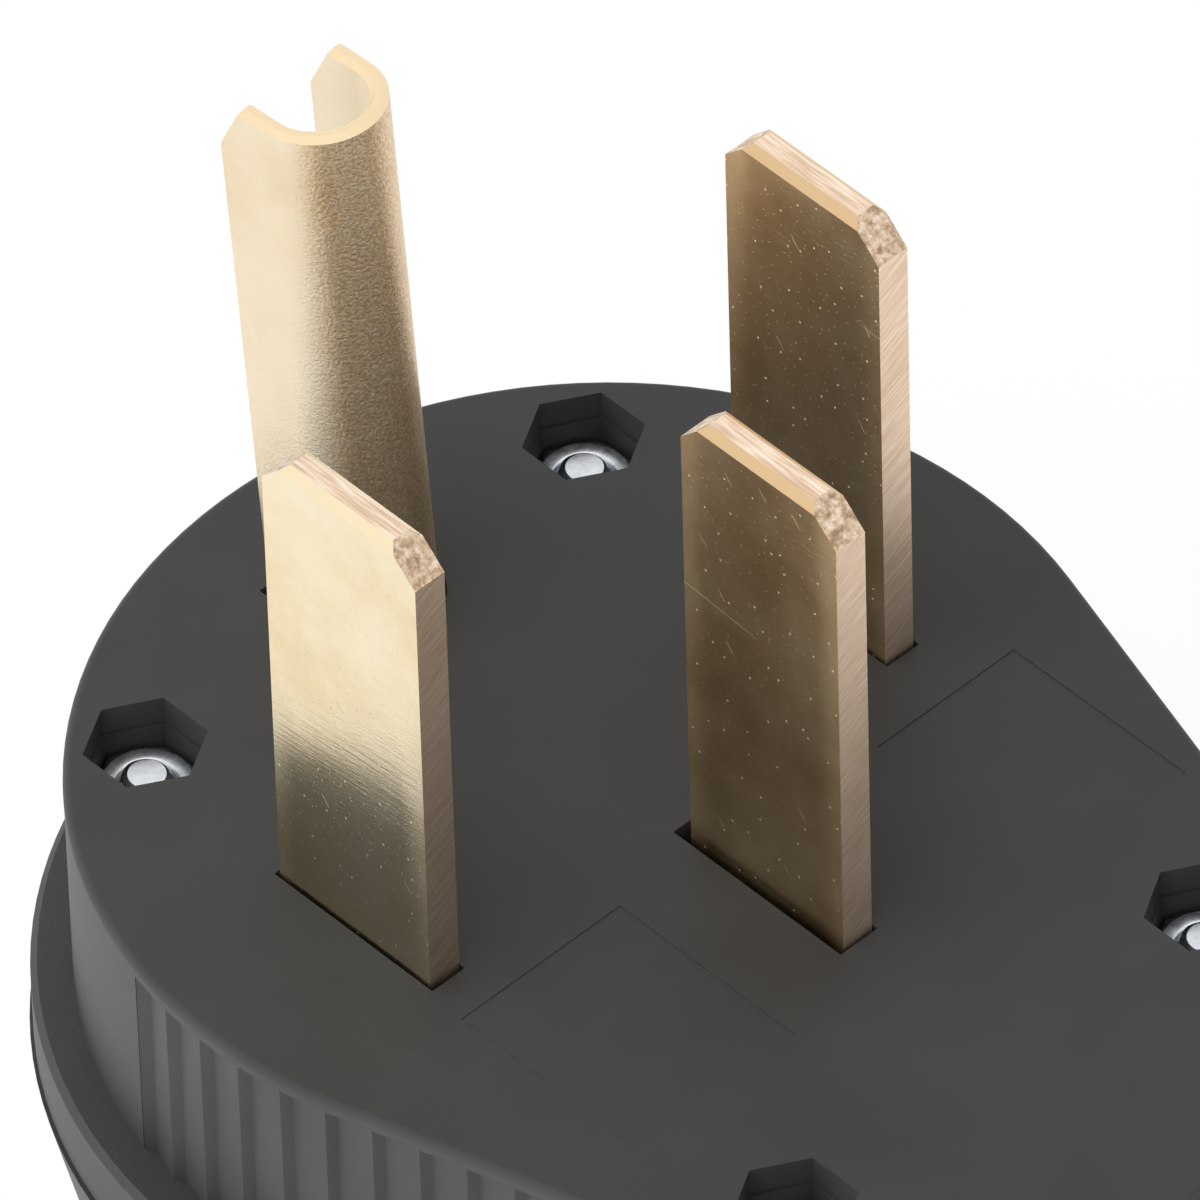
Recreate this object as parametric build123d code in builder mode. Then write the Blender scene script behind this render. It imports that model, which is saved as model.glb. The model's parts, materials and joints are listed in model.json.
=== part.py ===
from build123d import *
import os
from math import asin, atan2, cos, degrees, hypot, pi, radians, sin

# Right-angle four-pole 50 A power plug lying on its back with its blades up.
# Millimetres. The origin is the centre of the round head on the contact face,
# +Z runs along the blades and +X points to the cord end.

# Housing outline: a round head whose tangent sides narrow to the cord end,
# where the half width is that of the corners before they are rounded
head_radius = 29.9
end_wall_x = 47.0
end_half_width = 17.26
end_corner_radius = 7.0
wall = 2.6
face_thickness = 6.0
face_edge_radius = 0.5
seam_depth = 19.5
flange_height = 4.7
flange_reach = 2.4
flange_edge_chamfer = 0.4
seam_chamfer = 0.2
cover_reach = 2.6
cover_depth = 15.5
cover_taper = 12.0
cover_edge_radius = 1.6
cover_floor = 2.0

# Grip flutes cut into the wall: each drops steeply behind a crest on the wall
# surface, then rises slowly towards the next. Distances run round the wall
# from the head end.
flute_pitch = 3.0
flute_drop = 0.5
flute_depth = 0.55
flute_crest_inset = 0.05
flute_top_margin = 0.4
head_flutes = 9
side_flute_start_angle = 77.0
side_flutes = 10

# Shallow fields on the face where a label would go
field_depth = 0.05
left_field_x = (9.0, 23.0)
left_field_y = (-19.2, -7.0)
right_field_x = (10.4, 24.0)
right_field_y = (11.6, 22.3)

# Flat blades: two hot poles and a neutral
blade_width = 12.1
blade_thickness = 2.2
blade_height = 33.3
blade_bevel = 0.5
near_corner_cut = 1.8
far_corner_cut = 2.15
hot_spacing = 35.2
neutral_x = 14.0
neutral_y = 0.6
slot_end_clearance = 0.3
slot_side_clearance = 0.15
neutral_slot_extra_x = 0.6
neutral_slot_extra_y = 0.35

# Ground pin: sheet folded to a U that opens away from the cord end
ground_x = -18.5
ground_width = 7.9
ground_sheet = 1.1
ground_arm = 4.0
ground_height = 37.4
ground_lean = 4.0
ground_tip_cut_width = 1.9
ground_tip_cut_height = 3.4
ground_bevel = 0.35
ground_clearance = 0.4

# Wiring terminals under the blade feet
foot_length = 11.6
foot_bend_radius = 1.8
terminal_from_blade = 6.9
terminal_plate = 9.4
terminal_plate_thickness = 1.6
terminal_screw_radius = 2.4
terminal_hole_clearance = 0.1
terminal_relief = 0.6
blind_hole_margin = 1.0
terminal_head_radius = 4.1
terminal_head_height = 3.2
terminal_slot_width = 1.2
terminal_slot_depth = 1.4
terminal_screw_reach = 4.2
ground_foot_width = 7.6
ground_foot_thickness = 1.2
ground_foot_end_x = -6.7
ground_plate = 6.8
ground_head_radius = 3.2
ground_screw_radius = 1.9

# Insulating plate that holds the blade feet against the face block
retainer_thickness = 3.0
retainer_clearance = 0.5
retainer_hole_clearance = 0.15
retainer_end_x = 30.0
window_clearance = 0.45
retainer_screw_radius = 1.25
retainer_head_radius = 2.6
retainer_head_height = 1.8
retainer_screw_reach = 4.0
retainer_boss_radius = 3.2
retainer_front_x = 25.6
retainer_post_inset = 6.3
retainer_post_angle = 117.2

# Four M3 screws enter from the back and end in nuts under the face
head_screw_inset = 4.55
head_screw_angle = 137.9
cord_screw_x = 32.0
cord_screw_inset = 5.8
screw_radius = 1.5
screw_hole_clearance = 0.2
screw_head_radius = 2.8
screw_head_height = 2.0
counterbore_clearance = 0.2
counterbore_depth = 2.5
screw_tip_depth = 2.5
drive_depth = 1.1
drive_width = 0.9
drive_length = 3.4
nut_across_flats = 5.5
nut_height = 2.4
nut_top_depth = 3.2
pocket_corner_radius = 3.6
pocket_step_depth = 2.0
pocket_step_inset = 0.15
post_radius = 4.0

# Cord inlet: a half-round collar on each shell, a rubber bushing and a strap clamp
collar_radius = 15.4
collar_length = 6.0
bushing_radius = 12.7
bushing_bore = 10.6
bushing_lip = 0.7
bushing_inner_lip_length = 1.0
bushing_outer_lip_length = 2.0
bushing_clearance = 0.1
clamp_x = 39.8
clamp_width = 6.8
clamp_sheet = 1.4
clamp_squeeze = 1.0
clamp_ear_margin = 2.2
clamp_ring_clearance = 0.1
clamp_screw_radius = 1.75
clamp_head_radius = 2.7
clamp_head_height = 2.2
clamp_screw_reach = 9.0
clamp_post_radius = 2.6


end_corner_distance = hypot(end_wall_x, end_half_width)
side_taper = degrees(asin(head_radius / end_corner_distance) - atan2(end_half_width, end_wall_x))


def side_y(x):
    """Half the width of the housing outline at a place along its narrowing sides."""
    return (head_radius - x * sin(radians(side_taper))) / cos(radians(side_taper))


def on_head(inset, angle):
    """A point at an inset from the round head, at an angle from the cord end."""
    reach = head_radius - inset
    return (reach * cos(radians(angle)), reach * sin(radians(angle)))


seam_plane = Plane.XY.offset(-seam_depth)
cover_bottom = -(seam_depth + cover_depth)
foot_bottom = -(face_thickness + blade_thickness)
retainer_bottom = foot_bottom - retainer_thickness
cord_screw_y = side_y(cord_screw_x) - cord_screw_inset
screw_points = [
    on_head(head_screw_inset, head_screw_angle),
    on_head(head_screw_inset, -head_screw_angle),
    (cord_screw_x, cord_screw_y),
    (cord_screw_x, -cord_screw_y),
]
retainer_points = [
    (retainer_front_x, 0.0),
    on_head(retainer_post_inset, retainer_post_angle),
    on_head(retainer_post_inset, -retainer_post_angle),
]
clamp_ring_radius = bushing_bore - clamp_squeeze
clamp_screw_y = clamp_ring_radius + clamp_sheet + clamp_ring_clearance + clamp_head_radius
clamp_ear_reach = clamp_screw_y + clamp_ear_margin
side_flute_start = head_radius * radians(side_flute_start_angle)
hot_y = hot_spacing / 2
nut_corner_radius = nut_across_flats / 2 / cos(pi / 6)
ground_plane = Plane(
    origin=(ground_x, 0, 0),
    x_dir=(cos(radians(ground_lean)), 0, sin(radians(ground_lean))),
    z_dir=(-sin(radians(ground_lean)), 0, cos(radians(ground_lean))),
)
os.makedirs("parts", exist_ok=True)


def housing_outline(grow=0.0):
    """The round head and its narrowing sides, moved outward by grow all round."""
    turn = radians(side_taper)
    radius = head_radius + grow
    end_x = end_wall_x + grow
    touch_x = radius * sin(turn)
    touch_y = radius * cos(turn)
    end_y = (radius - end_x * sin(turn)) / cos(turn)
    with BuildSketch() as outline:
        with BuildLine():
            ThreePointArc((touch_x, -touch_y), (-radius, 0), (touch_x, touch_y))
            Polyline((touch_x, touch_y), (end_x, end_y), (end_x, -end_y), (touch_x, -touch_y))
        make_face()
        fillet(outline.vertices().group_by(Axis.X)[-1], end_corner_radius + grow)
    return outline.sketch


def ground_section(grow=0.0):
    """The U of the ground pin, round towards +X, with grow added on every side."""
    outer = ground_width / 2 + grow
    inner = ground_width / 2 - ground_sheet - grow
    arm_end = -ground_arm - grow
    with BuildSketch() as section:
        Circle(outer)
        with Locations((arm_end / 2, 0)):
            Rectangle(-arm_end, 2 * outer)
        with Locations((-outer + arm_end, 0)):
            Rectangle(2 * outer, 2 * outer, mode=Mode.SUBTRACT)
        Circle(inner, mode=Mode.SUBTRACT)
        with Locations((arm_end, 0)):
            Rectangle(-2 * arm_end, 2 * inner, mode=Mode.SUBTRACT)
    return section.sketch


def wall_point(along, inset):
    """A point inset from the wall, at a distance round it from the head end."""
    turn = min(along / head_radius, radians(90 + side_taper))
    straight = along - head_radius * turn
    reach = head_radius - inset
    return (straight * sin(turn) - reach * cos(turn), straight * cos(turn) + reach * sin(turn))


def flute_run(start, count):
    """The saw-tooth outline that cuts one run of flutes on the +Y side."""
    teeth = []
    outside = [wall_point(start, -flute_pitch)]
    for tooth in range(count):
        crest = start + tooth * flute_pitch
        teeth.append(wall_point(crest, flute_crest_inset))
        teeth.append(wall_point(crest + flute_drop, flute_depth))
        outside.append(wall_point(crest + flute_pitch, -flute_pitch))
    teeth.append(wall_point(start + count * flute_pitch, flute_crest_inset))
    with BuildSketch() as run:
        with BuildLine():
            Polyline(*teeth, *reversed(outside), close=True)
        make_face()
    return run.sketch


def label_field(x_range, y_range):
    """A thin block that cuts one shallow field into the face."""
    with BuildPart() as field:
        middle = ((x_range[0] + x_range[1]) / 2, (y_range[0] + y_range[1]) / 2)
        with BuildSketch():
            with Locations(middle):
                Rectangle(x_range[1] - x_range[0], y_range[1] - y_range[0])
        extrude(amount=-field_depth)
    return field.part


def save(part, name):
    """Label a finished piece and write it under the same name."""
    part.label = name
    export_step(part, f"parts/{name}.step")


# Front housing: contact face, fluted wall, flange down to the seam
with BuildPart() as front_housing:
    with BuildSketch(seam_plane):
        add(housing_outline())
    extrude(amount=seam_depth)
    fillet(front_housing.edges().group_by(Axis.Z)[-1], face_edge_radius)
    with BuildSketch(Plane.XY.offset(flange_height - seam_depth)):
        add(flute_run(0, head_flutes))
        add(flute_run(side_flute_start, side_flutes))
        mirror(about=Plane.XZ)
    flute_top = -face_edge_radius - flute_top_margin
    extrude(amount=seam_depth - flange_height + flute_top, mode=Mode.SUBTRACT)

    with BuildSketch(seam_plane):
        add(housing_outline(flange_reach))
    extrude(amount=flange_height)
    flange_top = front_housing.faces().filter_by(Axis.Z).sort_by(Axis.Z)[1]
    chamfer(flange_top.outer_wire().edges(), flange_edge_chamfer)
    seam_face = front_housing.faces().sort_by(Axis.Z)[0]
    chamfer(seam_face.outer_wire().edges(), seam_chamfer)

    with BuildSketch(Plane.YZ.offset(end_wall_x - wall)):
        with Locations((0, -seam_depth)):
            Circle(collar_radius)
    extrude(amount=wall + collar_length)

    with BuildSketch(seam_plane):
        add(housing_outline(-wall))
    extrude(amount=seam_depth - face_thickness, mode=Mode.SUBTRACT)

    with BuildSketch(seam_plane):
        with Locations(*screw_points):
            Circle(post_radius)
        with Locations((clamp_x, clamp_screw_y), (clamp_x, -clamp_screw_y)):
            Circle(clamp_post_radius)
    extrude(amount=seam_depth - face_thickness)
    with BuildSketch(Plane.XY.offset(foot_bottom)):
        with Locations(*retainer_points):
            Circle(retainer_boss_radius)
    extrude(amount=blade_thickness)
    with BuildSketch(Plane.YZ.offset(end_wall_x - wall)):
        with Locations((0, -seam_depth)):
            Circle(bushing_radius + bushing_clearance)
    extrude(amount=wall + collar_length, mode=Mode.SUBTRACT)
    with BuildSketch(Plane.YZ.offset(end_wall_x - wall)):
        with Locations((0, -seam_depth)):
            Circle(bushing_radius + bushing_lip + bushing_clearance)
    extrude(amount=-2 * bushing_inner_lip_length, mode=Mode.SUBTRACT)

    slot_length = blade_width + 2 * slot_end_clearance
    slot_width = blade_thickness + 2 * slot_side_clearance
    with BuildSketch():
        with Locations((0, hot_y), (0, -hot_y)):
            Rectangle(slot_length, slot_width)
        with Locations((neutral_x - neutral_slot_extra_x / 2, neutral_y - neutral_slot_extra_y / 2)):
            Rectangle(slot_length + neutral_slot_extra_x, slot_width + neutral_slot_extra_y)
    extrude(amount=-face_thickness, mode=Mode.SUBTRACT)
    with BuildSketch(ground_plane.offset(ground_width)):
        add(ground_section(ground_clearance))
    extrude(amount=-(ground_width + 2 * face_thickness), mode=Mode.SUBTRACT)

    with BuildSketch():
        with Locations(*screw_points):
            RegularPolygon(pocket_corner_radius, 6)
    extrude(amount=-pocket_step_depth, mode=Mode.SUBTRACT)
    pocket_depth = nut_top_depth + nut_height
    with BuildSketch():
        with Locations(*screw_points):
            RegularPolygon(pocket_corner_radius - pocket_step_inset, 6)
    extrude(amount=-pocket_depth, mode=Mode.SUBTRACT)
    with BuildSketch():
        with Locations(*screw_points):
            Circle(screw_radius + screw_hole_clearance)
    extrude(amount=-seam_depth, mode=Mode.SUBTRACT)

    relief_depth = face_thickness - terminal_screw_reach + blind_hole_margin
    with BuildSketch(Plane.XY.offset(-face_thickness)):
        with Locations(
            (0, hot_y - terminal_from_blade),
            (0, -hot_y + terminal_from_blade),
            (neutral_x, neutral_y - terminal_from_blade),
            ((ground_x + ground_width / 2 + ground_foot_end_x) / 2, 0),
        ):
            Circle(terminal_screw_radius + terminal_relief)
    extrude(amount=relief_depth, mode=Mode.SUBTRACT)
    with BuildSketch(Plane.XY.offset(foot_bottom)):
        with Locations(*retainer_points):
            Circle(retainer_screw_radius)
    extrude(amount=retainer_screw_reach + blind_hole_margin, mode=Mode.SUBTRACT)
    with BuildSketch(seam_plane):
        with Locations((clamp_x, clamp_screw_y), (clamp_x, -clamp_screw_y)):
            Circle(clamp_screw_radius)
    extrude(amount=clamp_screw_reach + blind_hole_margin, mode=Mode.SUBTRACT)

    add(label_field(left_field_x, left_field_y), mode=Mode.SUBTRACT)
    add(label_field(right_field_x, right_field_y), mode=Mode.SUBTRACT)
    split(bisect_by=seam_plane, keep=Keep.TOP)
save(front_housing.part, "front_housing")

# Rear cover: tapered shell with screw posts and the other half of the cord collar
with BuildPart() as rear_cover:
    with BuildSketch(seam_plane):
        add(housing_outline(cover_reach))
    extrude(amount=-cover_depth, taper=cover_taper)
    fillet(rear_cover.edges().group_by(Axis.Z)[0], cover_edge_radius)
    with BuildSketch(seam_plane):
        add(housing_outline(cover_reach - wall))
    extrude(amount=-(cover_depth - cover_floor), taper=cover_taper, mode=Mode.SUBTRACT)
    with BuildSketch(seam_plane):
        with Locations(*screw_points):
            Circle(post_radius)
    extrude(amount=-(cover_depth - cover_floor))
    with BuildSketch(Plane.YZ.offset(end_wall_x - wall)):
        with Locations((0, -seam_depth)):
            Circle(collar_radius)
    extrude(amount=wall + collar_length)
    with BuildSketch(Plane.YZ.offset(end_wall_x - wall)):
        with Locations((0, -seam_depth)):
            Circle(bushing_radius + bushing_clearance)
    extrude(amount=wall + collar_length, mode=Mode.SUBTRACT)
    with BuildSketch(Plane.YZ.offset(end_wall_x - wall)):
        with Locations((0, -seam_depth)):
            Circle(bushing_radius + bushing_lip + bushing_clearance)
    extrude(amount=-2 * bushing_inner_lip_length, mode=Mode.SUBTRACT)
    with BuildSketch(seam_plane):
        with Locations(*screw_points):
            Circle(screw_radius + screw_hole_clearance)
    extrude(amount=-cover_depth, mode=Mode.SUBTRACT)
    with BuildSketch(Plane.XY.offset(cover_bottom)):
        with Locations(*screw_points):
            Circle(screw_head_radius + counterbore_clearance)
    extrude(amount=counterbore_depth, mode=Mode.SUBTRACT)
    split(bisect_by=seam_plane, keep=Keep.BOTTOM)
save(rear_cover.part, "rear_cover")


def flat_blade(x, y, inward):
    """One flat blade with cut top corners and a foot bent inward under the face block."""
    left = x - blade_width / 2
    right = x + blade_width / 2
    plane = Plane(origin=(0, y + blade_thickness / 2, 0), x_dir=(1, 0, 0), z_dir=(0, -1, 0))
    with BuildPart() as blade:
        with BuildSketch(plane):
            with BuildLine():
                Polyline(
                    (left, foot_bottom),
                    (left, blade_height - near_corner_cut),
                    (left + near_corner_cut, blade_height),
                    (right - far_corner_cut, blade_height),
                    (right, blade_height - far_corner_cut),
                    (right, foot_bottom),
                    close=True,
                )
            make_face()
        extrude(amount=blade_thickness)
        chamfer(blade.edges().filter_by(Axis.X).group_by(Axis.Z)[-1], blade_bevel)
        foot_middle = y + inward * (foot_length - blade_thickness / 2) / 2
        with BuildSketch(Plane.XY.offset(foot_bottom)):
            with Locations((x, foot_middle)):
                Rectangle(blade_width, foot_length + blade_thickness / 2)
        extrude(amount=blade_thickness)
        heel = blade.edges().filter_by(Axis.X).group_by(Axis.Z)[0].sort_by(Axis.Y)
        fillet(heel[0] if inward > 0 else heel[-1], foot_bend_radius)
        with BuildSketch(Plane.XY.offset(foot_bottom)):
            with Locations((x, y + inward * terminal_from_blade)):
                Circle(terminal_screw_radius + terminal_hole_clearance)
        extrude(amount=blade_thickness, mode=Mode.SUBTRACT)
    return blade.part


save(flat_blade(0, -hot_y, 1), "hot_blade_left")
save(flat_blade(0, hot_y, -1), "hot_blade_right")
save(flat_blade(neutral_x, neutral_y, -1), "neutral_blade")

# Ground pin: leaning U with cut arm tips and a flat foot towards the cord end
ground_web_x = ground_x + ground_width / 2
ground_terminal_x = (ground_web_x + ground_foot_end_x) / 2
with BuildPart() as ground_pin:
    pin_below = face_thickness + 2 * blade_thickness
    with BuildSketch(ground_plane.offset(-pin_below)):
        add(ground_section())
    extrude(amount=pin_below + ground_height)
    rim = ground_pin.faces().sort_by(Axis.Z)[-1]
    chamfer(rim.outer_wire().edges(), ground_bevel)
    tip_plane = Plane(
        origin=ground_plane.origin,
        x_dir=ground_plane.x_dir,
        z_dir=(0, -1, 0),
    )
    with BuildSketch(tip_plane):
        with BuildLine():
            Polyline(
                (-ground_arm - 1, ground_height + 1),
                (-ground_arm - 1, ground_height - ground_tip_cut_height),
                (-ground_arm, ground_height - ground_tip_cut_height),
                (-ground_arm + ground_tip_cut_width, ground_height),
                (-ground_arm + ground_tip_cut_width, ground_height + 1),
                close=True,
            )
        make_face()
    extrude(amount=ground_width, both=True, mode=Mode.SUBTRACT)
    split(bisect_by=Plane.XY.offset(foot_bottom), keep=Keep.TOP)
    foot_start = ground_web_x - ground_sheet
    with BuildSketch(Plane.XY.offset(foot_bottom)):
        with Locations(((foot_start + ground_foot_end_x) / 2, 0)):
            Rectangle(ground_foot_end_x - foot_start, ground_foot_width)
    extrude(amount=ground_foot_thickness)
    with BuildSketch(Plane.XY.offset(foot_bottom)):
        with Locations((ground_terminal_x, 0)):
            Circle(ground_screw_radius + terminal_hole_clearance)
    extrude(amount=ground_foot_thickness, mode=Mode.SUBTRACT)
save(ground_pin.part, "ground_pin")


def pressure_plate(x, y, size, bore):
    """A square clamping plate with its two long edges turned down a little."""
    with BuildPart() as plate:
        with BuildSketch(Plane.XY.offset(foot_bottom)):
            with Locations((x, y)):
                Rectangle(size, size)
                Circle(bore, mode=Mode.SUBTRACT)
        extrude(amount=-terminal_plate_thickness)
        chamfer(plate.edges().filter_by(Axis.Z), terminal_plate_thickness / 2)
    return plate.part


def terminal_screw(x, y, shaft, head):
    """A slotted cheese-head screw that stands head down under its pressure plate."""
    seat = foot_bottom - terminal_plate_thickness
    with BuildPart() as screw:
        with BuildSketch(Plane.XY.offset(seat)):
            with Locations((x, y)):
                Circle(shaft)
        extrude(amount=-terminal_screw_reach - seat)
        chamfer(screw.edges().group_by(Axis.Z)[-1], shaft / 5)
        with BuildSketch(Plane.XY.offset(seat)):
            with Locations((x, y)):
                Circle(head)
        extrude(amount=-terminal_head_height)
        chamfer(screw.edges().group_by(Axis.Z)[0], terminal_head_height / 8)
        with BuildSketch(Plane.XY.offset(seat - terminal_head_height)):
            with Locations((x, y)):
                Rectangle(2 * head, terminal_slot_width)
        extrude(amount=terminal_slot_depth, mode=Mode.SUBTRACT)
    return screw.part


terminals = [
    ("hot_left", 0, -hot_y + terminal_from_blade, terminal_plate, terminal_screw_radius, terminal_head_radius),
    ("hot_right", 0, hot_y - terminal_from_blade, terminal_plate, terminal_screw_radius, terminal_head_radius),
    ("neutral", neutral_x, neutral_y - terminal_from_blade, terminal_plate, terminal_screw_radius,
     terminal_head_radius),
    ("ground", ground_terminal_x, 0, ground_plate, ground_screw_radius, ground_head_radius),
]
for pole, pole_x, pole_y, plate_size, shaft_radius, head_size in terminals:
    bore_radius = shaft_radius + terminal_hole_clearance
    save(pressure_plate(pole_x, pole_y, plate_size, bore_radius), f"{pole}_pressure_plate")
    save(terminal_screw(pole_x, pole_y, shaft_radius, head_size), f"{pole}_terminal_screw")

# Blade retainer: insulating plate with a window for each terminal
with BuildPart() as blade_retainer:
    with BuildSketch(Plane.XY.offset(retainer_bottom)):
        add(housing_outline(-wall - retainer_clearance))
        with Locations((retainer_end_x + end_wall_x, 0)):
            Rectangle(2 * end_wall_x, 3 * head_radius, mode=Mode.SUBTRACT)
        with Locations(*screw_points):
            Circle(post_radius + retainer_clearance, mode=Mode.SUBTRACT)
        for pole, pole_x, pole_y, plate_size, shaft_radius, head_size in terminals:
            with Locations((pole_x, pole_y)):
                Rectangle(
                    plate_size + 2 * window_clearance,
                    plate_size + 2 * window_clearance,
                    mode=Mode.SUBTRACT,
                )
        with Locations(*retainer_points):
            Circle(retainer_screw_radius + retainer_hole_clearance, mode=Mode.SUBTRACT)
    extrude(amount=retainer_thickness)
save(blade_retainer.part, "blade_retainer")


def pan_screw(x, y, seat, tip, shaft, head, head_height):
    """A cross-recessed pan-head screw standing head down, its shaft from seat up to tip."""
    with BuildPart() as screw:
        with BuildSketch(Plane.XY.offset(seat)):
            with Locations((x, y)):
                Circle(shaft)
        extrude(amount=tip - seat)
        chamfer(screw.edges().group_by(Axis.Z)[-1], shaft / 5)
        with BuildSketch(Plane.XY.offset(seat)):
            with Locations((x, y)):
                Circle(head)
        extrude(amount=-head_height)
        chamfer(screw.edges().group_by(Axis.Z)[0], head_height * 0.4)
        with BuildSketch(Plane.XY.offset(seat - head_height)):
            with Locations((x, y)):
                Rectangle(drive_length * head / screw_head_radius, drive_width)
                Rectangle(drive_width, drive_length * head / screw_head_radius)
        extrude(amount=drive_depth, mode=Mode.SUBTRACT)
    return screw.part


cover_screws = Compound(children=[
    pan_screw(x, y, cover_bottom + counterbore_depth, -screw_tip_depth,
              screw_radius, screw_head_radius, screw_head_height)
    for x, y in screw_points
])
save(cover_screws, "cover_screws")
retainer_screws = Compound(children=[
    pan_screw(x, y, retainer_bottom, foot_bottom + retainer_screw_reach,
              retainer_screw_radius, retainer_head_radius, retainer_head_height)
    for x, y in retainer_points
])
save(retainer_screws, "retainer_screws")
clamp_screws = Compound(children=[
    pan_screw(clamp_x, side * clamp_screw_y, -seam_depth - clamp_sheet, -seam_depth + clamp_screw_reach,
              clamp_screw_radius, clamp_head_radius, clamp_head_height)
    for side in (1, -1)
])
save(clamp_screws, "cord_clamp_screws")


def hex_nut(x, y):
    """A hexagon nut with chamfered corners, bored to clear its screw."""
    nut_bottom = -nut_top_depth - nut_height
    with BuildPart() as nut:
        with BuildSketch(Plane.XY.offset(nut_bottom)):
            with Locations((x, y)):
                RegularPolygon(nut_corner_radius, 6)
        extrude(amount=nut_height)
        with BuildSketch(Plane.XY.offset(nut_bottom)):
            with Locations((x, y)):
                Circle(nut_corner_radius)
        extrude(amount=nut_height, mode=Mode.INTERSECT)
        with BuildSketch(Plane.XY.offset(nut_bottom)):
            with Locations((x, y)):
                Circle(screw_radius)
        extrude(amount=nut_height, mode=Mode.SUBTRACT)
    return nut.part


cover_nuts = Compound(children=[hex_nut(x, y) for x, y in screw_points])
save(cover_nuts, "cover_nuts")

# Rubber bushing held by the two half collars, with a lip inside and outside
with BuildPart() as cord_bushing:
    bushing_start = end_wall_x - wall - bushing_inner_lip_length
    collar_end = end_wall_x + collar_length
    bushing_length = collar_end + bushing_outer_lip_length - bushing_start
    with BuildSketch(Plane.YZ.offset(bushing_start)):
        with Locations((0, -seam_depth)):
            Circle(bushing_radius)
    extrude(amount=bushing_length)
    with BuildSketch(Plane.YZ.offset(bushing_start)):
        with Locations((0, -seam_depth)):
            Circle(bushing_radius + bushing_lip)
    extrude(amount=bushing_inner_lip_length)
    with BuildSketch(Plane.YZ.offset(collar_end)):
        with Locations((0, -seam_depth)):
            Circle(bushing_radius + bushing_lip)
    extrude(amount=bushing_outer_lip_length)
    chamfer(cord_bushing.edges().group_by(Axis.X)[-1], bushing_lip * 0.9)
    with BuildSketch(Plane.YZ.offset(bushing_start)):
        with Locations((0, -seam_depth)):
            Circle(bushing_bore)
    extrude(amount=bushing_length, mode=Mode.SUBTRACT)
save(cord_bushing.part, "cord_bushing")

# Steel strap that pulls the cord against the front housing
with BuildPart() as cord_clamp_strap:
    with BuildSketch(Plane.YZ.offset(clamp_x - clamp_width / 2)):
        with Locations((0, -seam_depth)):
            Circle(clamp_ring_radius + clamp_sheet)
        with Locations((0, -seam_depth + clamp_ring_radius)):
            Rectangle(4 * clamp_ring_radius, 2 * clamp_ring_radius, mode=Mode.SUBTRACT)
        with Locations((0, -seam_depth - clamp_sheet / 2)):
            Rectangle(2 * clamp_ear_reach, clamp_sheet)
        with Locations((0, -seam_depth)):
            Circle(clamp_ring_radius, mode=Mode.SUBTRACT)
    extrude(amount=clamp_width)
    with BuildSketch(seam_plane):
        with Locations((clamp_x, clamp_screw_y), (clamp_x, -clamp_screw_y)):
            Circle(clamp_screw_radius + screw_hole_clearance)
    extrude(amount=-clamp_sheet, mode=Mode.SUBTRACT)
save(cord_clamp_strap.part, "cord_clamp_strap")
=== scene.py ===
"""Looks of the right-angle power plug: finishes, cover fasteners, floor, camera and light."""
import json
import math

import bpy
import bmesh
from mathutils import Matrix, Vector


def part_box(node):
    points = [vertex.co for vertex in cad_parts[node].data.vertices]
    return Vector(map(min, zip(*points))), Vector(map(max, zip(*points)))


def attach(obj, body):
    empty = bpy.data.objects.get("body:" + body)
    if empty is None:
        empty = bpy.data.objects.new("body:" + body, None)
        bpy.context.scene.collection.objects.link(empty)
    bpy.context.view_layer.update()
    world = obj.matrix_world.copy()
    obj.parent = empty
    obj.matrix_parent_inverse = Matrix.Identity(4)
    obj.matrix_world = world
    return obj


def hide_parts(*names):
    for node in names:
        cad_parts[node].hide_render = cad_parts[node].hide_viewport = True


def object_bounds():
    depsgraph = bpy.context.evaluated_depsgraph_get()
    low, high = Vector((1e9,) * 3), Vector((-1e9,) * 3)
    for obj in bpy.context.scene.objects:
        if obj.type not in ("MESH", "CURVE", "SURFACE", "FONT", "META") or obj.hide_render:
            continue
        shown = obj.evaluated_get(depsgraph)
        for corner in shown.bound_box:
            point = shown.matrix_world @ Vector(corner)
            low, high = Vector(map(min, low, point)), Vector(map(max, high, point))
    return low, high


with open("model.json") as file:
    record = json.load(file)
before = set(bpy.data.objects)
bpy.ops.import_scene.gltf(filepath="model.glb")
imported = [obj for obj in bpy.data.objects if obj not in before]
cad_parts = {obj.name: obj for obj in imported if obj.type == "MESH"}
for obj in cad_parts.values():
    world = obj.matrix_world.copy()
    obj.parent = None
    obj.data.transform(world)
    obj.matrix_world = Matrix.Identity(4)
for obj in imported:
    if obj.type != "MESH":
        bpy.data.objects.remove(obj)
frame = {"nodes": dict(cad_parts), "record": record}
cad_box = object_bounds()
record = frame["record"]
nodes = frame["nodes"]
MM = 0.001

# Camera, in degrees, metres and lens mm: fitted to the photographed blades, pockets and round head
CAMERA_AZIMUTH = 47.27
CAMERA_ELEVATION = 45.64
CAMERA_ROLL = -1.73
CAMERA_AIM = Vector((-8.81, 8.64, 0.0)) * MM
CAMERA_DISTANCE = 1208.6 * MM
CAMERA_LENS = 645.7
SENSOR_WIDTH = 36.0

# M3 nuts of the cover: the end chamfer is a cone that starts at a share of the half flats
NUT_FLATS = 5.5 * MM
NUT_SINK = 0.32 * MM
NUT_CONE_SHARE = 0.95
NUT_CONE_DEGREES = 30
NUT_STEPS = 96
LIP_WIDTH = 0.12 * MM
LIP_DROP = 0.05 * MM
BORE_FLARE = 0.03 * MM
BORE_FLARE_DEPTH = 0.1 * MM

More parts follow.
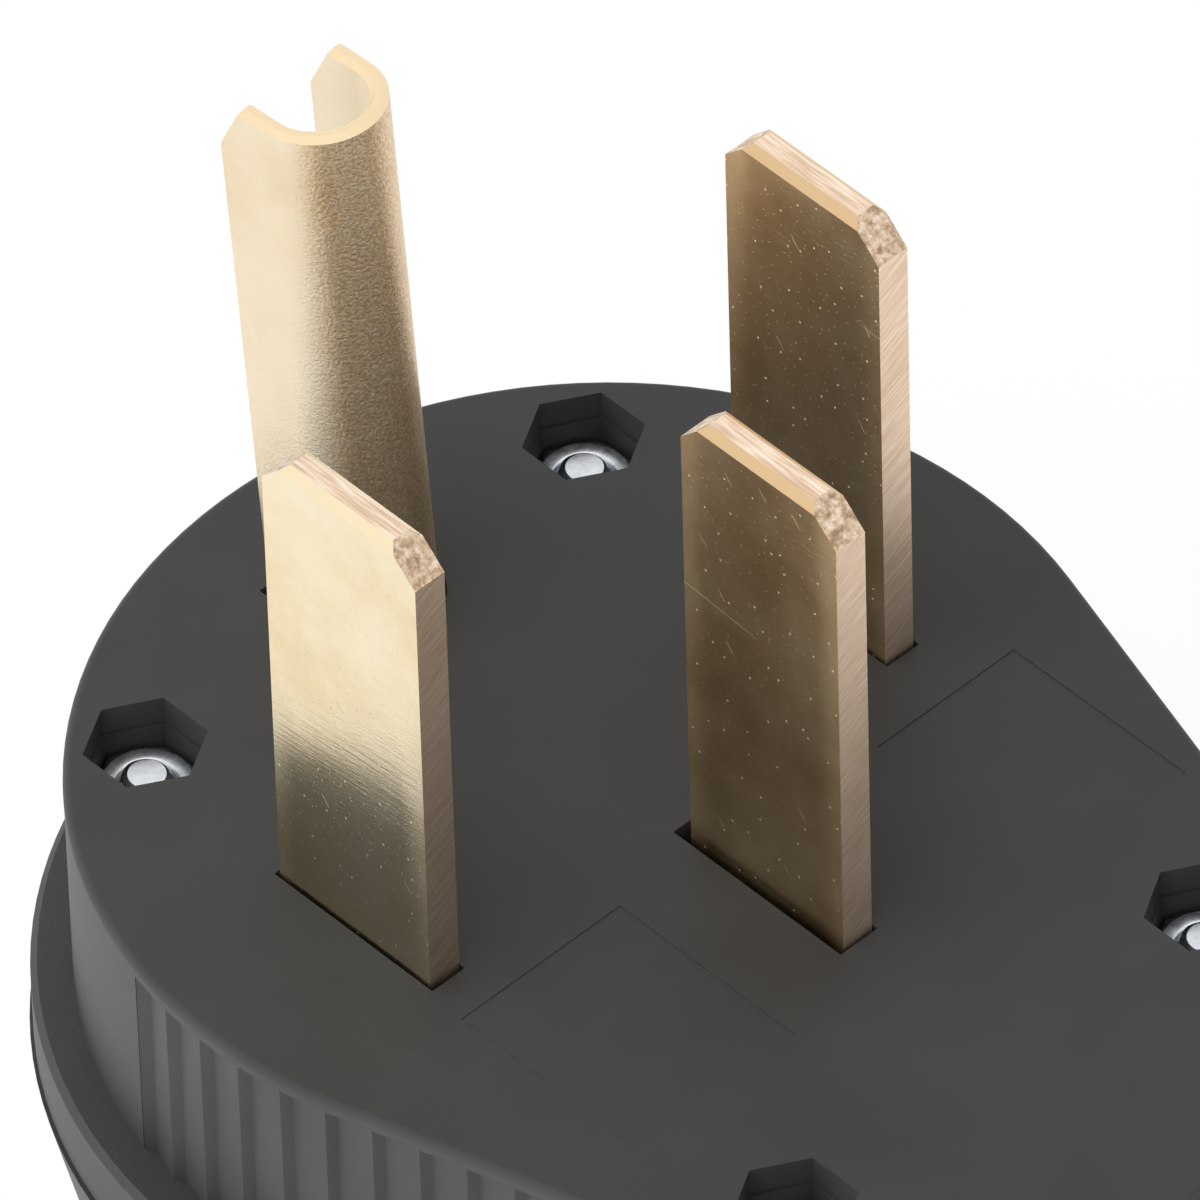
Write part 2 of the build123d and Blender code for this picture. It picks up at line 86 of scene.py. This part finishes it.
# M3 screws of the cover: the head's dome takes a share of its height, round a flat middle
SCREW_RADIUS = 1.5 * MM
SCREW_STEPS = 64
HEAD_RADIUS = 2.8 * MM
HEAD_HEIGHT = 2.0 * MM
HEAD_RIM = 0.05 * MM
HEAD_CENTRE_SHARE = 0.04
DOME_SHARE = 0.75
DOME_FLAT_SHARE = 0.45
DOME_STEPS = 12
THREAD_PITCH = 0.5 * MM
THREAD_DEPTH = 0.27 * MM
THREAD_SHOWN = 4.0 * MM
THREAD_RUNOUT = 0.3 * MM
THREAD_SLICES = 8
TIP_CHAMFER = 0.3 * MM
TIP_RADIUS = 1.1 * MM
TIP_EDGE_OUT = 0.06 * MM
TIP_EDGE_DOWN = 0.04 * MM
# Width, length and height of the cross recess, just outside the head and at its bottom
RECESS_MM = ((0.95, 3.6, -0.2), (0.55, 1.5, 1.25))
SMOOTH_DEGREES = 28

# Marks on the blades are laid out on a plane tipped from XZ, so that parallel blades differ
MARKS_TIP = 73
BARE_METAL = "#FBF1DC"

# The floor seen straight keeps this share of real shadow, and gives dull surfaces this much light
FLOOR_SHADOW = 0.1
FLOOR_GLOW = 3.7
FLOOR_GLOW_SHARE = 0.45
FLOOR_REACH = 3.0
FLOOR_DROP = 0.02 * MM

# The window's direction, in parts to the left of the view, towards the camera and up
WINDOW_LEFT = 0.85
WINDOW_NEAR = 0.5
WINDOW_UP = 0.25
WINDOW_EDGE = 0.95
GLOW_WINDOW = 2.87
GLOW_BEHIND = 0.19
LAMP_PLACE = (0.1, 0.1, 0.9)
LAMP_WIDTH = 0.7
LAMP_WATTS = 0.3


def linear(code):
    """An sRGB hex colour as the linear RGBA that the shader sockets take."""
    channels = [int(code[i:i + 2], 16) / 255 for i in (1, 3, 5)]
    return [c / 12.92 if c <= 0.04045 else ((c + 0.055) / 1.055) ** 2.4 for c in channels] + [1.0]


def add_node(tree, kind, **values):
    """One shader node: settings by attribute name, inputs by name or as i0, i1 and so on."""
    node = tree.nodes.new("ShaderNode" + kind)
    for name, value in values.items():
        if name == "stops":
            elements = node.color_ramp.elements
            while len(elements) < len(value):
                elements.new(0.5)
            for element, (place, code) in zip(elements, value):
                element.position = place
                element.color = linear(code)
        elif hasattr(node, name):
            setattr(node, name, value)
        else:
            socket = node.inputs[int(name[1:]) if name[0] == "i" else name.replace("_", " ")]
            if isinstance(value, bpy.types.Node):
                value = next(output for output in value.outputs if output.enabled)
            if isinstance(value, bpy.types.NodeSocket):
                tree.links.new(value, socket)
            else:
                socket.default_value = value
    return node


def new_material(name):
    """An empty material, its node tree to fill and the point that is being shaded."""
    material = bpy.data.materials.new(name)
    material.use_nodes = True
    material.node_tree.nodes.clear()
    return material, material.node_tree, add_node(material.node_tree, "NewGeometry")


def close_material(tree, shader, height, depth_mm):
    """Link a shader, bumped by a height pattern of the given real depth, to the output."""
    bump = add_node(tree, "Bump", Strength=1.0, Distance=depth_mm * MM, Height=height)
    tree.links.new(bump.outputs[0], shader.inputs["Normal"])
    add_node(tree, "OutputMaterial", Surface=shader)


def stretched(tree, place, size_mm, turn=(0.0, 0.0, 0.0)):
    """A place in units of a real size along each axis, after a turn in degrees."""
    turned = add_node(tree, "Mapping", vector_type="POINT", Vector=place,
                      Rotation=[math.radians(angle) for angle in turn])
    return add_node(tree, "Mapping", vector_type="POINT", Vector=turned,
                    Scale=[1 / (size * MM) for size in size_mm])


def flecks(tree, place, cell_mm, share, strength, turn=(0.0, 0.0, 0.0), dimensions="3D"):
    """Scattered spots as a mask: one in each cell of a real size, a share of it across."""
    cells = add_node(tree, "TexVoronoi", voronoi_dimensions=dimensions,
                     Vector=stretched(tree, place, cell_mm, turn), Scale=1.0)
    return add_node(tree, "MapRange", interpolation_type="SMOOTHSTEP", Value=cells,
                    From_Min=share * 0.6, From_Max=share, To_Min=strength, To_Max=0.0)


def moulded_nylon():
    """Black glass-filled nylon from a spark-eroded mould: dull, finely grained, faintly cloudy."""
    material, tree, place = new_material("moulded_nylon")
    cloud = add_node(tree, "TexNoise", Vector=place, Scale=1 / (9 * MM), Detail=5.0)
    # Real spark grain is about 0.05 mm, drawn here at 0.25 mm so that it shows
    grain = add_node(tree, "TexNoise", Vector=place, Scale=1 / (0.25 * MM), Detail=3.0)
    speck = add_node(tree, "TexNoise", Vector=place, Scale=1 / (0.4 * MM), Detail=1.0)
    base = add_node(tree, "ValToRGB", Fac=cloud, stops=[(0.3, "#2F3030"), (0.7, "#363737")])
    dust = add_node(tree, "MapRange", Value=speck, From_Min=0.75, From_Max=0.80, To_Max=0.12)
    colour = add_node(tree, "Mix", data_type="RGBA", i0=dust, i6=base, i7=linear("#666666"))
    rough = add_node(tree, "MapRange", Value=cloud, To_Min=0.48, To_Max=0.58)
    shader = add_node(tree, "BsdfPrincipled", Base_Color=colour, Roughness=rough, IOR=1.42)
    close_material(tree, shader, grain, 0.02)
    return material


def rolled_brass(name, node, face_colours, dullness, wear):
    """Brass strip of a flat blade: rolled grain with pits and scratches, its cut edges paler."""
    material, tree, place = new_material(name)
    facing = add_node(tree, "VectorMath", operation="ABSOLUTE", i0=place.outputs["True Normal"])
    facing = add_node(tree, "SeparateXYZ", Vector=facing)
    # Sheared edges face along X, sawn corners along X and up, pressed bevels along Y and up
    sheared, broad, upward = [
        add_node(tree, "MapRange", interpolation_type="SMOOTHSTEP",
                 Value=facing.outputs[axis], From_Min=start, From_Max=full)
        for axis, start, full in (("X", 0.45, 0.7), ("Y", 0.4, 0.6), ("Z", 0.4, 0.6))]
    sawn = add_node(tree, "Math", operation="MULTIPLY", i0=sheared, i1=upward)
    bevelled = add_node(tree, "Math", operation="MULTIPLY", i0=broad, i1=upward)
    cut = add_node(tree, "Math", operation="MAXIMUM", i0=sheared, i1=upward)
    plain = add_node(tree, "Math", operation="SUBTRACT", i0=1.0, i1=cut)

    # The shear rolls the last 2 mm of a broad face over
    low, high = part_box(node)
    middle, half = (low.x + high.x) / 2, (high.x - low.x) / 2
    across = add_node(tree, "SeparateXYZ", Vector=place)
    aside = add_node(tree, "Math", operation="SUBTRACT", i0=across.outputs["X"], i1=middle)
    aside = add_node(tree, "Math", operation="ABSOLUTE", i0=aside)
    rolled = add_node(tree, "MapRange", interpolation_type="SMOOTHSTEP",
                      Value=aside, From_Min=half - 2 * MM, From_Max=half, To_Max=plain)

    cloud = add_node(tree, "TexNoise", Vector=place, Scale=1 / (8 * MM), Detail=7.0, Roughness=0.65)
    rolling = add_node(tree, "TexNoise", Scale=1.0, Detail=4.0,
                       Vector=stretched(tree, place, (14, 0.2, 0.2), (0, 4, 0)))
    slanted = add_node(tree, "TexNoise", Scale=1.0, Detail=4.0,
                       Vector=stretched(tree, place, (0.12, 2.4, 0.10), (-28, 0, 0)))
    # Polishing lines are under 0.1 mm on the real strip, drawn at 0.15 mm so that they show
    polish = add_node(tree, "TexNoise", Scale=1.0, Detail=2.0,
                      Vector=stretched(tree, place, (1.4, 0.15, 0.15), (0, 16, 0)))
    torn = add_node(tree, "TexNoise", Vector=place, Scale=1 / (0.6 * MM), Detail=4.0, Roughness=0.7)

    # Pits, fine pits, scratches and long scratches: cell and share across, strength and turn
    marks = 0.0
    for cell_mm, share, strength, turn in (((2.4, 2.4, 1), 0.037, 0.9, 15),
                                           ((0.9, 0.9, 1), 0.06, 0.45, 50),
                                           ((2.2, 26, 1), 0.024, 0.45, 38),
                                           ((330, 1.7, 1), 0.018, 0.5, -4)):
        kind = flecks(tree, place, cell_mm, share, wear * strength, (MARKS_TIP, 0, turn), "2D")
        marks = add_node(tree, "Math", operation="MAXIMUM", i0=marks, i1=kind)
    marks = add_node(tree, "Math", operation="MULTIPLY", i0=marks, i1=plain)

    face = add_node(tree, "ValToRGB", Fac=cloud, stops=list(zip((0.3, 0.5, 0.7), face_colours)))
    edge = add_node(tree, "ValToRGB", Fac=slanted,
                    stops=[(0.3, "#DBBDA2"), (0.55, "#EED5BC"), (0.75, "#F9E9D6")])
    streaks = add_node(tree, "ValToRGB", Fac=rolling,
                       stops=[(0.35, "#D9BBA0"), (0.5, "#EED5BC"), (0.65, "#FAEBD9")])
    saw_cut = add_node(tree, "ValToRGB", Fac=torn,
                       stops=[(0.36, "#A1866D"), (0.5, "#D0B699"), (0.64, "#EEDDC9")])
    colour = face
    for mask, layer in ((cut, edge), (upward, streaks), (sawn, saw_cut),
                        (bevelled, linear(face_colours[1])), (marks, linear(BARE_METAL))):
        colour = add_node(tree, "Mix", data_type="RGBA", i0=mask, i6=colour, i7=layer)

    rough = add_node(tree, "MapRange", Value=cloud, To_Min=dullness[0], To_Max=dullness[1])
    for mask, part in ((cut, 0.18), (rolled, 0.08), (marks, 0.35)):
        rough = add_node(tree, "Math", operation="MULTIPLY_ADD", i0=mask, i1=part, i2=rough)

    # The broad face's relief, then that of each kind of cut, in parts of the bump's depth
    grain = marks
    for pattern, part in ((rolling, 0.75), (polish, 0.45), (rolled, -2.8)):
        grain = add_node(tree, "Math", operation="MULTIPLY_ADD", i0=pattern, i1=part, i2=grain)
    height = add_node(tree, "Math", operation="MULTIPLY", i0=grain, i1=plain)
    for pattern, mask, part in ((slanted, sheared, 1.4), (rolling, upward, 1.6),
                                (torn, sawn, 11.0)):
        relief = add_node(tree, "Math", operation="MULTIPLY", i0=pattern, i1=mask)
        height = add_node(tree, "Math", operation="MULTIPLY_ADD", i0=relief, i1=part, i2=height)
    shader = add_node(tree, "BsdfPrincipled", Base_Color=colour, Metallic=1.0, Roughness=rough)
    close_material(tree, shader, height, 0.012)
    return material


def folded_brass():
    """The ground pin's brass sheet: its skin pebbled by folding, its cut rim bright and rippled."""
    material, tree, place = new_material("folded_brass")
    facing = add_node(tree, "SeparateXYZ", Vector=place.outputs["Normal"])
    rim = add_node(tree, "MapRange", interpolation_type="SMOOTHSTEP",
                   Value=facing.outputs["Z"], From_Min=0.3, From_Max=0.5)
    fold = add_node(tree, "MapRange", interpolation_type="SMOOTHSTEP",
                    Value=facing.outputs["X"], From_Min=0.3, From_Max=0.8)
    cloud = add_node(tree, "TexNoise", Vector=place, Scale=1 / (8 * MM), Detail=6.0)
    # Fold grain is about 0.05 mm, drawn at 0.2 mm so that it sparkles
    pebble = add_node(tree, "TexNoise", Vector=place,
                      Scale=1 / (0.2 * MM), Detail=4.0, Roughness=0.6)
    ripple = add_node(tree, "TexNoise", Vector=place, Scale=1 / (0.6 * MM), Detail=2.0)
    pits = flecks(tree, place, (0.45, 0.45, 0.45), 0.12, 0.6, (20, 30, 10))
    scratches = flecks(tree, place, (1.1, 1.1, 14), 0.06, 0.5, (0, 28, 0))
    marks = add_node(tree, "Math", operation="MAXIMUM", i0=pits, i1=scratches)

    skin = add_node(tree, "ValToRGB", Fac=cloud,
                    stops=[(0.25, "#E6D0AB"), (0.5, "#EDDDC0"), (0.8, "#F1E4CC")])
    bend = add_node(tree, "ValToRGB", Fac=cloud,
                    stops=[(0.25, "#E6CDA8"), (0.5, "#F0DBBB"), (0.8, "#F5E4C9")])
    sparkle = add_node(tree, "ValToRGB", Fac=pebble, stops=[(0.4, "#E3D7C4"), (0.6, "#FFFFFF")])
    colour = skin
    for blend, mask, layer in (("MIX", fold, bend), ("MULTIPLY", fold, sparkle),
                               ("MIX", rim, linear("#F4DDB6")), ("MIX", marks, linear(BARE_METAL))):
        colour = add_node(tree, "Mix", data_type="RGBA", blend_type=blend,
                          i0=mask, i6=colour, i7=layer)
    rough = add_node(tree, "MapRange", Value=cloud, To_Min=0.33, To_Max=0.41)
    rough = add_node(tree, "Math", operation="MULTIPLY_ADD", i0=marks, i1=0.2, i2=rough)
    rippled = add_node(tree, "Math", operation="MULTIPLY", i0=ripple, i1=rim)
    height = add_node(tree, "Math", operation="MULTIPLY_ADD", i0=pebble, i1=3.4, i2=marks)
    height = add_node(tree, "Math", operation="MULTIPLY_ADD", i0=rippled, i1=4.0, i2=height)
    shader = add_node(tree, "BsdfPrincipled", Base_Color=colour, Metallic=1.0, Roughness=rough)
    close_material(tree, shader, height, 0.012)
    return material


def zinc_plate():
    """Steel fasteners with bright zinc: pale, slightly blue, softly hammered by the barrel."""
    material, tree, place = new_material("zinc_plate")
    dents = add_node(tree, "TexNoise", Vector=place, Scale=1 / (0.6 * MM), Detail=3.0)
    colour = add_node(tree, "ValToRGB", Fac=dents, stops=[(0.3, "#D3D8DF"), (0.7, "#ECEFF3")])
    rough = add_node(tree, "MapRange", Value=dents, To_Min=0.18, To_Max=0.34)
    shader = add_node(tree, "BsdfPrincipled", Base_Color=colour, Metallic=1.0, Roughness=rough)
    close_material(tree, shader, dents, 0.008)
    return material


def pressed_phenolic():
    """The brown-black phenolic plate inside: dense, with a little mica sparkle."""
    material, tree, place = new_material("pressed_phenolic")
    flakes = add_node(tree, "TexNoise", Vector=place, Scale=1 / (0.6 * MM), Detail=4.0)
    colour = add_node(tree, "ValToRGB", Fac=flakes, stops=[(0.3, "#3A322D"), (0.7, "#4B423B")])
    shader = add_node(tree, "BsdfPrincipled", Base_Color=colour, Roughness=0.45, IOR=1.6)
    close_material(tree, shader, flakes, 0.02)
    return material


def moulded_rubber():
    """The bushing's soft black rubber: dull and powdery, with a bloom in patches."""
    material, tree, place = new_material("moulded_rubber")
    bloom = add_node(tree, "TexNoise", Vector=place, Scale=1 / (3 * MM), Detail=6.0)
    powder = add_node(tree, "TexNoise", Vector=place, Scale=1 / (0.2 * MM), Detail=2.0)
    colour = add_node(tree, "ValToRGB", Fac=bloom, stops=[(0.3, "#242425"), (0.75, "#343434")])
    shader = add_node(tree, "BsdfPrincipled", Base_Color=colour, Roughness=0.72, IOR=1.5)
    close_material(tree, shader, powder, 0.015)
    return material


def direct_rays(tree):
    """1 for rays from the camera, gloss or glass, 0 for the light that dull surfaces gather."""
    path = add_node(tree, "LightPath")
    seen = add_node(tree, "Math", operation="MAXIMUM",
                    i0=path.outputs["Is Camera Ray"], i1=path.outputs["Is Glossy Ray"])
    return add_node(tree, "Math", operation="MAXIMUM",
                    i0=seen, i1=path.outputs["Is Transmission Ray"])


def floor_white():
    """White where it is seen or mirrored; for dull surfaces a brightly lit sheet of paper."""
    material, tree, _ = new_material("floor_white")
    seen = direct_rays(tree)
    paper = add_node(tree, "BsdfDiffuse", Color=linear("#FFFFFF"))
    strength = add_node(tree, "MapRange", Value=seen, To_Min=FLOOR_GLOW, To_Max=1.0)
    light = add_node(tree, "Emission", Color=(1, 1, 1, 1), Strength=strength)
    share = add_node(tree, "MapRange", Value=seen, To_Min=FLOOR_GLOW_SHARE, To_Max=1 - FLOOR_SHADOW)
    mixed = add_node(tree, "MixShader", Fac=share, i1=paper, i2=light)
    add_node(tree, "OutputMaterial", Surface=mixed)
    return material


def finish_cad_nodes():
    """Give every carried-over solid the finish of its slot, or its own."""
    finishes = {
        "black_nylon": moulded_nylon(),
        "zinc_steel": zinc_plate(),
        "grey_insulator": pressed_phenolic(),
        "black_rubber": moulded_rubber(),
    }
    # Face colours and range of roughness: the left blade keeps plain brass colours, the other two
    # take darker, warmer colours that are painted shade for the darker reflections they show
    plain_brass = ("#E9D3A8", "#F2E1BD", "#F6E8CA"), (0.16, 0.23)
    shaded_brass = ("#D0AF80", "#DFC096", "#E8D0A8"), (0.25, 0.34)
    finishes["brass"] = rolled_brass("rolled_brass", "hot_blade_left", *plain_brass, wear=0.6)
    own_finishes = {
        "ground_pin": folded_brass(),
        # The right and neutral blades get the darker face colours, which are painted shade
        "hot_blade_right": rolled_brass(
            "shade_painted_brass_hot", "hot_blade_right", *shaded_brass, wear=1.0),
        "neutral_blade": rolled_brass(
            "shade_painted_brass_neutral", "neutral_blade", *shaded_brass, wear=0.7),
    }
    for part in record["subparts"]:
        solid = nodes[part["node"]]
        solid.data.materials.clear()
        solid.data.materials.append(own_finishes.get(part["node"], finishes[part["material_slot"]]))
    return finishes


def corner_groups(node):
    """The vertices of a node's four fasteners, one list for each corner of the plug."""
    low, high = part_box(node)
    middle = (low + high) / 2
    groups = {}
    for vertex in nodes[node].data.vertices:
        corner = (vertex.co.x > middle.x, vertex.co.y > middle.y)
        groups.setdefault(corner, []).append(vertex.co.copy())
    return [groups[corner] for corner in sorted(groups)]


def middle_of(points):
    """The middle of the box round some points, on the XY plane."""
    x, y = ((min(p[i] for p in points) + max(p[i] for p in points)) / 2 for i in (0, 1))
    return Vector((x, y, 0.0))


def turned_mesh(name, rings, closed):
    """A mesh from rings of points, joined in order; the ends are capped, or joined if closed."""
    sheet = bmesh.new()
    loops = [[sheet.verts.new(point) for point in ring] for ring in rings]
    count = len(loops[0])
    following = loops[1:] + loops[:1] if closed else loops[1:]
    for lower, upper in zip(loops, following):
        for i in range(count):
            j = (i + 1) % count
            sheet.faces.new((lower[i], lower[j], upper[j], upper[i]))
    if not closed:
        sheet.faces.new(list(reversed(loops[0])))
        sheet.faces.new(loops[-1])
    bmesh.ops.recalc_face_normals(sheet, faces=sheet.faces)
    mesh = bpy.data.meshes.new(name)
    sheet.to_mesh(mesh)
    sheet.free()
    mesh.polygons.foreach_set("use_smooth", [True] * len(mesh.polygons))
    mesh.set_sharp_from_angle(angle=math.radians(SMOOTH_DEGREES))
    return mesh


def ring(radius, height, steps):
    """A level circle of points round the Z axis."""
    turns = [math.tau * i / steps for i in range(steps)]
    return [(radius * math.cos(turn), radius * math.sin(turn), height) for turn in turns]


def nut_mesh(name, low, high):
    """A hexagon nut: both ends chamfered by a cone and countersunk, with a raised thread lip."""
    half_flats = NUT_FLATS / 2
    cone_radius = half_flats * NUT_CONE_SHARE
    slope = math.tan(math.radians(NUT_CONE_DEGREES))
    bore = SCREW_RADIUS
    mouth = bore + NUT_SINK

    def hexagon(end, side):
        """The nut's six sides, with a corner along X, lowered at the corners by the cone."""
        points = []
        for i in range(NUT_STEPS):
            turn = math.tau * i / NUT_STEPS
            off_corner = (turn + math.pi / 6) % (math.pi / 3) - math.pi / 6
            radius = half_flats / math.cos(math.pi / 6 - abs(off_corner))
            height = end - side * (radius - cone_radius) * slope
            points.append((radius * math.cos(turn), radius * math.sin(turn), height))
        return points

    bottom = [(bore, low + NUT_SINK), (mouth, low), (cone_radius, low)]
    top = [(cone_radius, high), (mouth + LIP_WIDTH, high), (mouth, high - LIP_DROP),
           (bore + BORE_FLARE, high - NUT_SINK), (bore, high - NUT_SINK - BORE_FLARE_DEPTH)]
    rings = [ring(radius, height, NUT_STEPS) for radius, height in bottom]
    rings += [hexagon(low, -1), hexagon(high, 1)]
    rings += [ring(radius, height, NUT_STEPS) for radius, height in top]
    return turned_mesh(name, rings, closed=True)


def thread_rings(start):
    """The screw's thread from its lowest turn up: a shallow ridge that climbs round the shaft."""
    rings = []
    for i in range(int(THREAD_SHOWN / THREAD_PITCH * THREAD_SLICES) + 1):
        height = start + i * THREAD_PITCH / THREAD_SLICES
        points = []
        for j in range(SCREW_STEPS):
            turn = math.tau * j / SCREW_STEPS
            phase = (i / THREAD_SLICES + j / SCREW_STEPS) % 1.0
            radius = SCREW_RADIUS - THREAD_DEPTH * abs(2 * phase - 1)
            points.append((radius * math.cos(turn), radius * math.sin(turn), height))
        rings.append(points)
    return rings


def screw_mesh(name, bottom, tip):
    """A pan-head screw, head down: domed head with a cross recess, shaft, thread, bevelled tip."""
    seat = bottom + HEAD_HEIGHT
    dome = HEAD_HEIGHT * DOME_SHARE
    thread_start = tip - TIP_CHAMFER - THREAD_SHOWN
    profile = [(HEAD_RADIUS * HEAD_CENTRE_SHARE, bottom)]
    for i in range(DOME_STEPS + 1):
        lean = math.radians(90 * i / DOME_STEPS)
        radius = HEAD_RADIUS * (DOME_FLAT_SHARE + (1 - DOME_FLAT_SHARE) * math.sin(lean))
        profile.append((radius, bottom + dome * (1 - math.cos(lean))))
    profile += [(HEAD_RADIUS, seat - HEAD_RIM), (HEAD_RADIUS - HEAD_RIM, seat),
                (SCREW_RADIUS, seat), (SCREW_RADIUS, thread_start - THREAD_RUNOUT)]
    rings = [ring(radius, height, SCREW_STEPS) for radius, height in profile]
    rings += thread_rings(thread_start)
    rings += [ring(TIP_RADIUS + TIP_EDGE_OUT, tip - TIP_EDGE_DOWN, SCREW_STEPS),
              ring(TIP_RADIUS, tip, SCREW_STEPS)]
    return recessed(turned_mesh(name, rings, closed=False), name, bottom)


def recessed(mesh, name, bottom):
    """Cut a tapered cross into the underside of a screw head."""
    cutter = bmesh.new()
    for turn in (0, 90):
        matrix = Matrix.Rotation(math.radians(turn), 4, "Z")
        levels = []
        for width, length, height in RECESS_MM:
            x, y, z = length * MM / 2, width * MM / 2, bottom + height * MM
            corners = ((-x, -y, z), (x, -y, z), (x, y, z), (-x, y, z))
            levels.append([cutter.verts.new(matrix @ Vector(corner)) for corner in corners])
        outer, inner = levels
        cutter.faces.new(outer)
        cutter.faces.new(inner)
        for i in range(4):
            j = (i + 1) % 4
            cutter.faces.new((outer[i], outer[j], inner[j], inner[i]))
    bmesh.ops.recalc_face_normals(cutter, faces=cutter.faces)
    cross_mesh = bpy.data.meshes.new("cross")
    cutter.to_mesh(cross_mesh)
    cutter.free()
    cross = bpy.data.objects.new("cross", cross_mesh)
    blank = bpy.data.objects.new("blank", mesh)
    for item in (cross, blank):
        bpy.context.scene.collection.objects.link(item)
    cut = blank.modifiers.new("cut", "BOOLEAN")
    cut.operation = "DIFFERENCE"
    cut.solver = "EXACT"
    cut.use_self = True
    cut.object = cross
    bpy.context.view_layer.update()
    result = blank.evaluated_get(bpy.context.evaluated_depsgraph_get())
    shaped = bpy.data.meshes.new_from_object(result)
    shaped.name = name
    bpy.data.objects.remove(cross)
    bpy.data.objects.remove(blank)
    return shaped


def add_fasteners(finishes):
    """Nuts and screws with the chamfers, thread and recess that the CAD ones leave out."""
    zinc = finishes["zinc_steel"]
    for kind in ("cover_nuts", "cover_screws"):
        low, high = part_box(kind)
        for number, points in enumerate(corner_groups(kind), 1):
            name = f"{kind[:-1]}_{number}"
            if kind == "cover_nuts":
                mesh = nut_mesh(name, low.z, high.z)
            else:
                mesh = screw_mesh(name, low.z, high.z)
            mesh.materials.clear()
            mesh.materials.append(zinc)
            piece = bpy.data.objects.new(name, mesh)
            piece.location = middle_of(points)
            bpy.context.scene.collection.objects.link(piece)
            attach(piece, "root")
            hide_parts(kind)


def add_floor():
    """A pale floor under the plug, wide enough to fill the view."""
    mesh = bpy.data.meshes.new("floor")
    # A hair below the plug, so that the two don't share a plane
    low = cad_box[0][2] - FLOOR_DROP
    corners = [(x * FLOOR_REACH, y * FLOOR_REACH, low)
               for x, y in ((-1, -1), (1, -1), (1, 1), (-1, 1))]
    mesh.from_pydata(corners, [], [(0, 1, 2, 3)])
    floor = bpy.data.objects.new("floor", mesh)
    bpy.context.scene.collection.objects.link(floor)
    mesh.materials.append(floor_white())


def add_camera():
    """The photograph's view: long lens, half above, with a slight roll."""
    turn, lift, roll = (math.radians(a) for a in (CAMERA_AZIMUTH, CAMERA_ELEVATION, CAMERA_ROLL))
    level = Vector((math.cos(turn), math.sin(turn), 0))
    ahead = Vector((-math.sin(turn), math.cos(turn), 0))
    into = math.cos(lift) * ahead - math.sin(lift) * Vector((0, 0, 1))
    upright = level.cross(into)
    right = math.cos(roll) * level + math.sin(roll) * upright
    up = math.cos(roll) * upright - math.sin(roll) * level
    data = bpy.data.cameras.new("camera")
    data.lens = CAMERA_LENS
    data.sensor_width = SENSOR_WIDTH
    data.clip_start = 0.01
    data.clip_end = 20.0
    camera = bpy.data.objects.new("camera", data)
    basis = Matrix((right, up, -into)).transposed().to_4x4()
    camera.matrix_world = Matrix.Translation(CAMERA_AIM - into * CAMERA_DISTANCE) @ basis
    bpy.context.scene.collection.objects.link(camera)
    bpy.context.scene.camera = camera
    return level, into


def add_lights(level, into):
    """White surround with a window glow on the left of the view, and a wide lamp overhead."""
    world = bpy.data.worlds.new("studio")
    bpy.context.scene.world = world
    world.use_nodes = True
    tree = world.node_tree
    tree.nodes.clear()
    seen = direct_rays(tree)
    # Other light comes mostly from a low window on the left of the view
    window = -WINDOW_LEFT * level - WINDOW_NEAR * into
    window.z = WINDOW_UP
    window.normalize()
    sky_place = add_node(tree, "TexCoord")
    facing = add_node(tree, "VectorMath", operation="DOT_PRODUCT", i0=sky_place, i1=window)
    glow = add_node(tree, "MapRange", interpolation_type="SMOOTHSTEP", Value=facing,
                    From_Min=0.0, From_Max=WINDOW_EDGE, To_Min=GLOW_BEHIND, To_Max=GLOW_WINDOW)
    strength = add_node(tree, "MapRange", Value=seen, To_Min=glow, To_Max=1.0)
    sky = add_node(tree, "Background", Color=(1, 1, 1, 1), Strength=strength)
    add_node(tree, "OutputWorld", Surface=sky)

    data = bpy.data.lights.new("overhead", "AREA")
    data.size = LAMP_WIDTH
    data.energy = LAMP_WATTS
    lamp = bpy.data.objects.new("overhead", data)
    lamp.location = LAMP_PLACE
    lamp.rotation_euler = (-lamp.location).to_track_quat("-Z", "Y").to_euler()
    bpy.context.scene.collection.objects.link(lamp)


scene = bpy.context.scene
scene.view_settings.view_transform = "Standard"
finishes = finish_cad_nodes()
add_fasteners(finishes)
add_floor()
view_level, view_into = add_camera()
add_lights(view_level, view_into)
